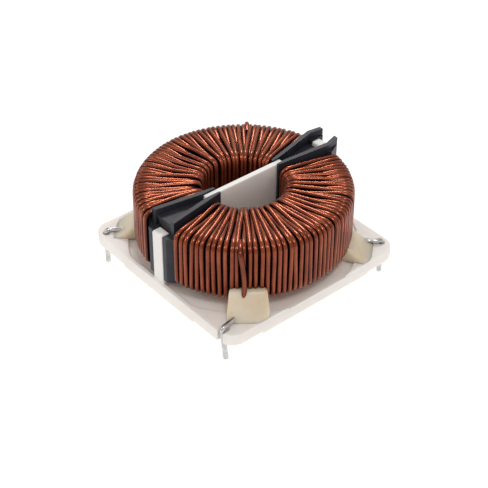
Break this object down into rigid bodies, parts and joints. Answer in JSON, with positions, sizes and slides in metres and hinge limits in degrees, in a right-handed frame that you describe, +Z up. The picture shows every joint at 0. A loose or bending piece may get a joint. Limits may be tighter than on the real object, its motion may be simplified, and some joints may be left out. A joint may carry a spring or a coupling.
{
  "type": "toroidal inductor",
  "caption": "Toroidal common-mode choke: copper windings on a ferrite ring, split by black barriers and a white divider, on a square white base with solder pins.",
  "frame": {"origin": "centre of the pin pattern on the plane of the board that the base stands on", "axes": "+Z up along the ring's axis, X along the divider, windings on the -Y and +Y sides"},
  "size_m": [0.0416, 0.041, 0.0216],
  "materials": {
    "base_plastic": "white moulded nylon, satin",
    "ferrite": "dark grey sintered ferrite with a thin coating",
    "copper_wire": "enamelled copper wire with tinned ends",
    "barrier_plastic": "black moulded plastic, satin",
    "adhesive": "set translucent adhesive"
  },
  "bodies": {
    "root": {"base": "base_plastic", "core": "ferrite", "front_winding": "copper_wire", "back_winding": "copper_wire", "left_barrier": "barrier_plastic", "right_barrier": "barrier_plastic", "front_left_bead": "adhesive", "front_right_bead": "adhesive", "back_right_bead": "adhesive", "back_left_bead": "adhesive"}
  },
  "joints": []
}
